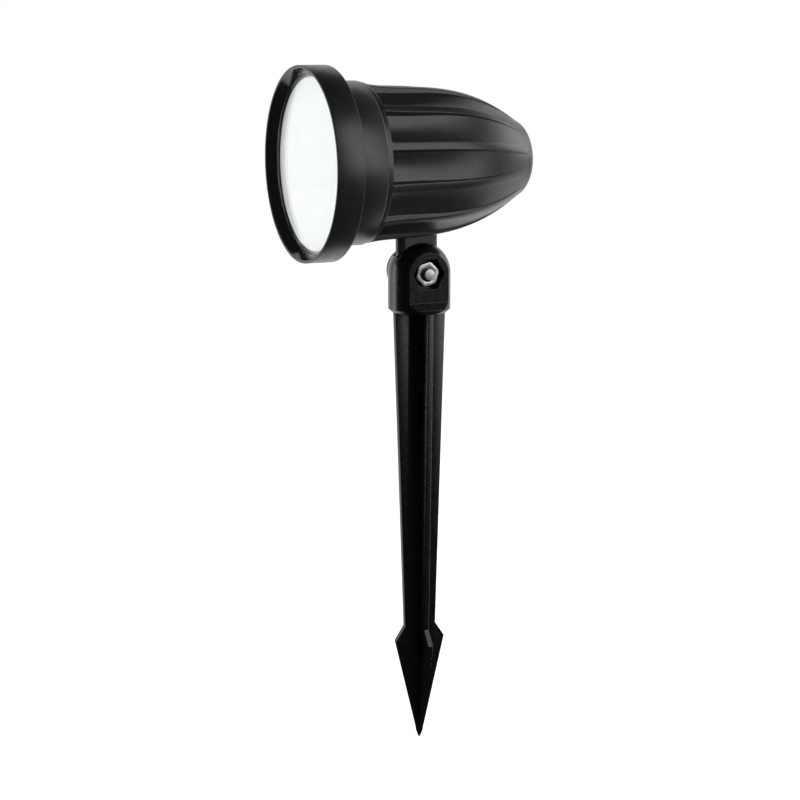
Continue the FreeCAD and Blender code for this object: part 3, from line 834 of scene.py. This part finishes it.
@dataclass
class Gland:
    """Rounded mouth for the cord at the middle of the back."""

    stem_start: float = 42.0
    back: float = 50.3
    reach: float = 5.0
    stem: float = 4.0
    radius: float = 4.6
    edge: float = 1.4
    edge_steps: int = 6
    seal_radius: float = 3.4
    lip: float = 1.2
    lip_bore: float = 2.9
    lip_edge: float = 0.2
    cord_bore: float = 2.7
    seal_start: float = 46.5
    seal_edge: float = 0.3

    def build(self) -> list[Piece]:
        """Turn the gland and its rubber sleeve."""
        mouth = self.back + self.reach
        rounding = []
        for i in range(self.edge_steps + 1):
            angle = math.pi / 2 * i / self.edge_steps
            along = mouth - self.edge * (1 - math.sin(angle))
            rounding.append((along, self.radius - self.edge * (1 - math.cos(angle))))
        outline = [
            (self.stem_start, self.seal_radius),
            (self.stem_start, self.stem),
            (self.back, self.stem),
            (self.back, self.radius),
            *rounding,
            (mouth, self.lip_bore + self.lip_edge),
            (mouth - self.lip_edge, self.lip_bore),
            (mouth - self.lip, self.lip_bore),
            (mouth - self.lip, self.seal_radius),
        ]
        body = turned("cord_gland", outline, Axis.Y, LAMP_CENTRE)
        sleeve_end = mouth - self.lip
        sleeve = turned(
            "cord_sleeve",
            (
                (self.seal_start, self.cord_bore),
                (self.seal_start, self.seal_radius),
                (sleeve_end, self.seal_radius),
                (sleeve_end, self.cord_bore + self.seal_edge),
                (sleeve_end - self.seal_edge, self.cord_bore),
            ),
            Axis.Y, LAMP_CENTRE,
        )
        return [
            dressed(body, GLAND_BLACK, "head", "gland_body"),
            dressed(sleeve, RUBBER, "head", "gland_seal"),
        ]


# Base

@dataclass
class Knuckle:
    """Domed post with the tongue's slot, the nut's flat and pocket, and the bolt's boss."""

    radius: float = 14.05
    foot: float = 12.6
    chamfer: float = 1.5
    dome_steps: int = 24
    pad: float = 10.2
    pad_drop: float = 12.7
    ledge: float = 12.5
    ledge_drop: float = 15.8
    boss_radius: float = 10.0
    boss: float = 14.2
    boss_edge: float = 0.8
    recess: float = 1.2
    recess_radius: float = 6.2
    pocket_flats: float = 13.2
    pocket_floor: float = 5.6
    slot_half: float = 3.6
    slot_reach: float = 10.2
    slot_front: float = -11.6
    slot_step: float = 0.3
    bolt_hole: float = 3.2
    socket: float = 6.1
    socket_depth: float = 6.0
    beyond: float = 60.0
    overlap: float = 1.0

    def post(self) -> Piece:
        """The post and its dome, turned about the spike's axis."""
        outline = [(0.0, 0.0), (0.0, self.foot), (self.chamfer, self.radius)]
        for i in range(self.dome_steps + 1):
            angle = math.pi / 2 * i / self.dome_steps
            outline.append((PIVOT_Z + self.radius * math.sin(angle), self.radius * math.cos(angle)))
        return turned("knuckle_post", outline, Axis.Z, ORIGIN, POST_STEPS)

    def cutters(self) -> list[Piece]:
        """Everything taken off the post."""
        far = self.beyond
        half = self.slot_half
        reach = self.slot_reach
        side, past = Vector((half, 0, 0)), Vector((far, 0, 0))
        pad = (
            (self.pad, far),
            (self.pad, PIVOT_Z - self.pad_drop),
            (self.ledge, PIVOT_Z - self.ledge_drop),
            (self.ledge, -far),
            (far, -far),
            (far, far),
        )
        flat = prism("flat", [Vector((x, -far, z)) for x, z in pad], Vector((0, 2 * far, 0)))
        slot = rod("slot", reach, PIVOT - side, PIVOT + side, DISC_STEPS)
        front = Vector((-half, self.slot_front, PIVOT_Z - self.slot_step))
        above = block("above", front, Vector((half, far, PIVOT_Z + far)))
        back = Vector((half, far, PIVOT_Z + self.overlap))
        behind = block("behind", Vector((-half, 0, PIVOT_Z - reach)), back)
        slot = combined(slot, [above, behind], Join.ADD)
        pocket_at = Vector((self.pocket_floor, 0, PIVOT_Z))
        pocket = prism("pocket", hexagon(self.pocket_flats, pocket_at), past)
        hole = rod("hole", self.bolt_hole, PIVOT - past, PIVOT + past, HOLE_STEPS)
        seat = Vector((self.recess - self.boss, 0, PIVOT_Z))
        recess = rod("recess", self.recess_radius, seat, seat - past)
        socket = rod("socket", self.socket, Vector((0, 0, -self.overlap)), Vector((0, 0, self.socket_depth)))
        return [flat, slot, pocket, hole, recess, socket]

    def build(self) -> Piece:
        """Cut the post, with its boss, to its shape."""
        boss = rod("boss", self.boss_radius, PIVOT, PIVOT - Vector((self.boss, 0, 0)), DISC_STEPS)
        boss = softened(boss, self.boss_edge, 4)
        body = combined(self.post(), [boss], Join.ADD)
        body = combined(body, self.cutters(), Join.CUT)
        return dressed(tidied(body), KNUCKLE_BLACK, "base", "knuckle")


@dataclass
class PivotHardware:
    """M6 bolt, thin nut and washer.

    Attributes:
        face: How far the chamfered faces of nut and head reach beyond their flats' circle.
        cone: How much wider the chamfer's cone is behind the face.
        cone_drop: Height of that cone.
        thread_places: Places of a thread's root and of both ends of its crest, as shares of the pitch.
    """

    radius: float = 3.0
    seat: float = -14.0
    length: float = 25.0
    flats: float = 10.0
    face: float = 0.3
    cone: float = 0.6
    cone_drop: float = 0.35
    head: float = 4.0
    bolt_edge: float = 0.08
    pitch: float = 1.0
    thread_places: tuple[float, float, float] = (0.3, 0.7, 0.85)
    thread_depth: float = 0.55
    crest_gap: float = 0.04
    thread_start: float = -2.0
    plain_end: float = 1.0
    end_gap: float = 0.05
    tip: float = 2.5
    tip_edge: float = 0.15
    tip_drop: float = 0.2
    washer_radius: float = 6.0
    washer_thick: float = 1.0
    washer_bore: float = 3.2
    washer_edge: float = 0.15
    nut_floor: float = 5.6
    nut_thick: float = 3.2
    nut_turn: float = 15.0
    nut_play: float = 0.02
    nut_edge: float = 0.1
    sink_depth: float = 0.5
    sink_width: float = 0.4
    sink_over: float = 0.1
    overlap: float = 1.0

    def _hex_body(self, name: str, start: float, thick: float, turn: float) -> Piece:
        """A hexagon whose corners are chamfered by a cone on both sides."""
        body = prism(name, hexagon(self.flats, Vector((start, 0, PIVOT_Z)), turn), Vector((thick, 0, 0)))
        face = self.flats / 2 + self.face
        wide = face + self.cone
        end = start + thick
        outline = (
            (start, 0),
            (start, face),
            (start + self.cone_drop, wide),
            (end - self.cone_drop, wide),
            (end, face),
            (end, 0),
        )
        cone = turned("cone", outline, Axis.X, PIVOT_CENTRE)
        return combined(body, [cone], Join.KEEP_COMMON)

    def bolt(self) -> Piece:
        """Head, shank and ridged thread."""
        start = self.seat - self.overlap
        end = self.seat + self.length
        root, crest = self.radius - self.thread_depth, self.radius - self.crest_gap
        outline = [(start, 0.0), (start, self.radius), (self.thread_start, self.radius)]
        turns = int((end - self.thread_start - self.plain_end) / self.pitch)
        for i in range(turns):
            for share, radius in zip(self.thread_places, (root, crest, crest)):
                outline.append((self.thread_start + (i + share) * self.pitch, radius))
        outline += [
            (end - self.plain_end, self.radius - self.end_gap),
            (end - self.tip_edge, self.tip),
            (end, self.tip - self.tip_drop),
            (end, 0.0),
        ]
        shank = turned("pivot_bolt_shank", outline, Axis.X, PIVOT_CENTRE, THREAD_STEPS)
        head = self._hex_body("pivot_bolt_head", self.seat - self.head, self.head, 0.0)
        return combined(shank, [head], Join.ADD)

    def nut(self) -> Piece:
        """Thin nut with a countersunk bore."""
        body = self._hex_body("pivot_thin_nut", self.nut_floor, self.nut_thick, self.nut_turn)
        start = self.nut_floor - self.overlap
        end = self.nut_floor + self.nut_thick
        bore = self.radius + self.nut_play
        wide = bore + self.sink_width
        outline = (
            (start, 0),
            (start, bore),
            (end - self.sink_depth, bore),
            (end + self.sink_over, wide),
            (end + self.overlap, wide),
            (end + self.overlap, 0),
        )
        tool = turned("countersink", outline, Axis.X, PIVOT_CENTRE)
        return combined(body, [tool], Join.CUT)

    def washer(self) -> Piece:
        """Flat washer under the bolt's head."""
        end = self.seat + self.washer_thick
        outline = (
            (self.seat, self.washer_bore),
            (self.seat, self.washer_radius),
            (end, self.washer_radius),
            (end, self.washer_bore),
        )
        return softened(turned("pivot_flat_washer", outline, Axis.X, PIVOT_CENTRE), self.washer_edge, 2)

    def build(self) -> list[Piece]:
        """Make the three pieces."""
        return [
            dressed(softened(self.bolt(), self.bolt_edge, 2), ZINC, "base", "pivot_bolt"),
            dressed(softened(self.nut(), self.nut_edge, 2), ZINC, "base", "pivot_nut"),
            dressed(self.washer(), ZINC, "base", "pivot_washer"),
        ]


@dataclass
class Spike:
    """Cross-shaped stake with barbs."""

    thick: float = 2.8
    top: float = 12.4
    neck: float = 7.6
    barb: float = 12.15
    tip: float = 0.3
    neck_z: float = -146.5
    barb_z: float = -153.3
    tip_z: float = -201.6
    tip_radius: float = 0.5
    tip_spread: float = 0.35
    limit_top: float = 5.0
    stagger: float = 1.1
    stub: float = 6.0
    stub_start: float = -1.0
    stub_height: float = 6.0
    edge: float = 0.28

    def blade(self, name: str, across: Vector, normal: Vector, drop: float) -> Piece:
        """One tapering blade with a barbed point.

        Args:
            name: Name of the piece.
            across: Direction of the blade's width.
            normal: Direction of its thickness.
            drop: How far its neck and barbs lie below the sizes.

        Returns:
            The blade.
        """
        side = (
            (self.top, 0.0),
            (self.neck, self.neck_z - drop),
            (self.barb, self.barb_z - drop),
            (self.tip, self.tip_z),
        )
        outline = list(side) + [(-width, z) for width, z in reversed(side)]
        start = normal * (self.thick / 2)
        corners = [across * width + Vector((0, 0, z)) - start for width, z in outline]
        return softened(prism(name, corners, normal * self.thick), self.edge)

    def point_limit(self) -> Piece:
        """The cone that draws the blades in at the point, with room above it."""
        wide = self.tip_radius + self.tip_spread * (self.barb_z - self.tip_z)
        outline = (
            (self.tip_z, 0),
            (self.tip_z, self.tip_radius),
            (self.barb_z, wide),
            (self.limit_top, wide),
            (self.limit_top, 0),
        )
        return turned("point_limit", outline, Axis.Z, ORIGIN)

    def build(self) -> Piece:
        """The stake with the stub that enters the knuckle."""
        x, y = Vector((1, 0, 0)), Vector((0, 1, 0))
        stake = self.blade("ground_stake", y, x, 0.0)
        stake = combined(stake, [self.blade("blade", x, y, self.stagger)], Join.ADD)
        stake = combined(stake, [self.point_limit()], Join.KEEP_COMMON)
        stub = rod("stub", self.stub, Vector((0, 0, self.stub_start)), Vector((0, 0, self.stub_height)))
        stake = combined(stake, [stub], Join.ADD)
        return dressed(stake, SPIKE_BLACK, "base", "spike")


# Studio

@dataclass(frozen=True)
class Lamp:
    """A soft rectangular lamp: its place and its size in millimetres, and its power in watts."""

    name: str
    place: tuple[float, float, float]
    width: float
    height: float
    power: float

    def light(self, target: tuple[float, float, float]) -> None:
        """Set the lamp up, aimed at a point in millimetres."""
        data = bpy.data.lights.new(self.name, "AREA")
        data.shape = "RECTANGLE"
        data.size = self.width * MM
        data.size_y = self.height * MM
        data.energy = self.power
        lamp = bpy.data.objects.new(self.name, data)
        bpy.context.scene.collection.objects.link(lamp)
        lamp.location = Vector(self.place) * MM
        aim = Vector(target) * MM - lamp.location
        lamp.rotation_euler = aim.to_track_quat("-Z", "Y").to_euler()


LAMPS = (
    Lamp("lamp_low", (740, 700, 0), 320, 320, 0.5),
    Lamp("lamp_back", (0, 900, 300), 500, 500, 1.8),
    Lamp("lamp_side", (900, 540, 450), 640, 1020, 5.4),
    Lamp("lamp_left", (-600, -750, 150), 300, 700, 2.3),
)


@dataclass
class Studio:
    """White floor and surroundings, soft lamps, and the camera at the photograph's angle."""

    floor_z: float = -201.6
    floor_size: float = 6000.0
    floor_tone: float = 0.86
    floor_rough: float = 0.9
    azimuth: float = 65.23
    elevation: float = 10.94
    roll: float = -0.115
    distance: float = 853.7
    target: tuple[float, float, float] = (0.0, -9.606, -39.98)
    focal_px: float = 1888.1
    image_px: float = 800.0
    sensor: float = 36.0
    clip_start: float = 10.0
    lamp_target: tuple[float, float, float] = (0.0, 0.0, -30.0)
    ambient: float = 0.5
    floor_glow: float = 0.62
    dark_azimuth: float = 60.0
    card_radius: float = 1400.0
    hood_start: float = -350.0
    ceiling_start: float = 950.0
    cloth_start: float = -80.0
    cloth_lift: float = 1.0
    card_tone: float = 0.02

    def floor(self) -> None:
        """A pale floor, white to the camera and in reflections, that keeps the object's shadow."""
        bpy.ops.mesh.primitive_grid_add(
            x_subdivisions=8, y_subdivisions=8, size=self.floor_size * MM, location=(0, 0, self.floor_z * MM)
        )
        piece = taken("studio_floor")
        made, tree, plain = new_material("finish_floor")
        tone = (self.floor_tone, self.floor_tone, self.floor_tone, 1)
        filled(plain, {"Roughness": self.floor_rough, "Specular IOR Level": 0.0, "Base Color": tone})
        glow = filled(tree.nodes.new("ShaderNodeEmission"), {"Strength": self.floor_glow})
        bright = tree.nodes.new("ShaderNodeAddShader")
        tree.links.new(plain.outputs["BSDF"], bright.inputs[0])
        tree.links.new(glow.outputs["Emission"], bright.inputs[1])
        seen = picked(tree, plain.outputs["BSDF"], bright.outputs["Shader"], *SEEN_RAYS)
        tree.links.new(seen, tree.nodes["Material Output"].inputs["Surface"])
        piece.data.materials.append(made)

    def cards(self) -> None:
        """A black cloth, hood and ceiling round the camera's side, seen in reflections alone."""
        azimuth = math.radians(self.dark_azimuth)
        towards = Vector((math.sin(azimuth), -math.cos(azimuth), 0))
        made, _, black = new_material("finish_card")
        tone = (self.card_tone, self.card_tone, self.card_tone, 1)
        filled(black, {"Base Color": tone, "Specular IOR Level": 0.0})
        low = self.floor_z + self.cloth_lift
        bpy.ops.mesh.primitive_circle_add(
            vertices=96, radius=self.card_radius * MM, fill_type="NGON", location=(0, 0, low * MM)
        )
        cloth = self._cut_off(taken("studio_cloth"), towards, self.cloth_start)
        up = Vector((0, 0, 1))
        pieces = [cloth]
        for name, way, start in (("hood", towards, self.hood_start), ("ceiling", up, self.ceiling_start)):
            bpy.ops.mesh.primitive_uv_sphere_add(
                segments=64, ring_count=32, radius=self.card_radius * MM
            )
            pieces.append(self._cut_off(taken("studio_" + name), way, start))
        for piece in pieces:
            piece.data.materials.append(made)
            piece.visible_camera = False
            piece.visible_diffuse = False
            piece.visible_transmission = False
            piece.visible_shadow = False

    def _cut_off(self, piece: Piece, towards: Vector, start: float) -> Piece:
        """Keep what lies further than a distance in millimetres towards a direction."""
        with editing(piece):
            bpy.ops.mesh.bisect(plane_co=towards * start * MM, plane_no=towards, clear_inner=True)
        return piece

    def world(self) -> None:
        """A white background, also in metal and glass, above a plain level of light."""
        made = bpy.data.worlds.new("studio")
        bpy.context.scene.world = made
        made.use_nodes = True
        tree = made.node_tree
        white = (1, 1, 1, 1)
        light = filled(tree.nodes["Background"], {"Color": white, "Strength": self.ambient})
        seen = filled(tree.nodes.new("ShaderNodeBackground"), {"Color": white})
        surface = picked(tree, light.outputs["Background"], seen.outputs["Background"], *SEEN_RAYS)
        tree.links.new(surface, tree.nodes["World Output"].inputs["Surface"])

    def camera(self) -> None:
        """The camera, from the angles fitted to the photograph."""
        az, el = math.radians(self.azimuth), math.radians(self.elevation)
        back = Vector((math.sin(az) * math.cos(el), -math.cos(az) * math.cos(el), math.sin(el)))
        data = bpy.data.cameras.new("camera")
        data.sensor_width = self.sensor
        data.lens = self.focal_px / self.image_px * self.sensor
        data.clip_start = self.clip_start * MM
        camera = bpy.data.objects.new("camera", data)
        bpy.context.scene.collection.objects.link(camera)
        right = Vector((math.cos(az), math.sin(az), 0))
        up = back.cross(right)
        turn = Matrix((right, up, back)).transposed() @ Matrix.Rotation(math.radians(self.roll), 3, "Z")
        place = (Vector(self.target) + back * self.distance) * MM
        camera.matrix_world = Matrix.Translation(place) @ turn.to_4x4()
        bpy.context.scene.camera = camera

    def build(self) -> None:
        """Set the whole studio up."""
        self.floor()
        self.cards()
        self.world()
        for lamp in LAMPS:
            lamp.light(self.lamp_target)
        self.camera()
        bpy.context.scene.view_settings.view_transform = "Standard"


def main() -> None:
    """Build and dress every piece in order."""
    logging.basicConfig(level=logging.INFO, format="%(name)s %(message)s")
    Studio().build()
    dress_hidden_nodes()
    for maker in (Bezel(), LensStack(), Housing(), Gland(), Knuckle(), PivotHardware(), Spike()):
        maker.build()


if __name__ == "__main__":
    main()
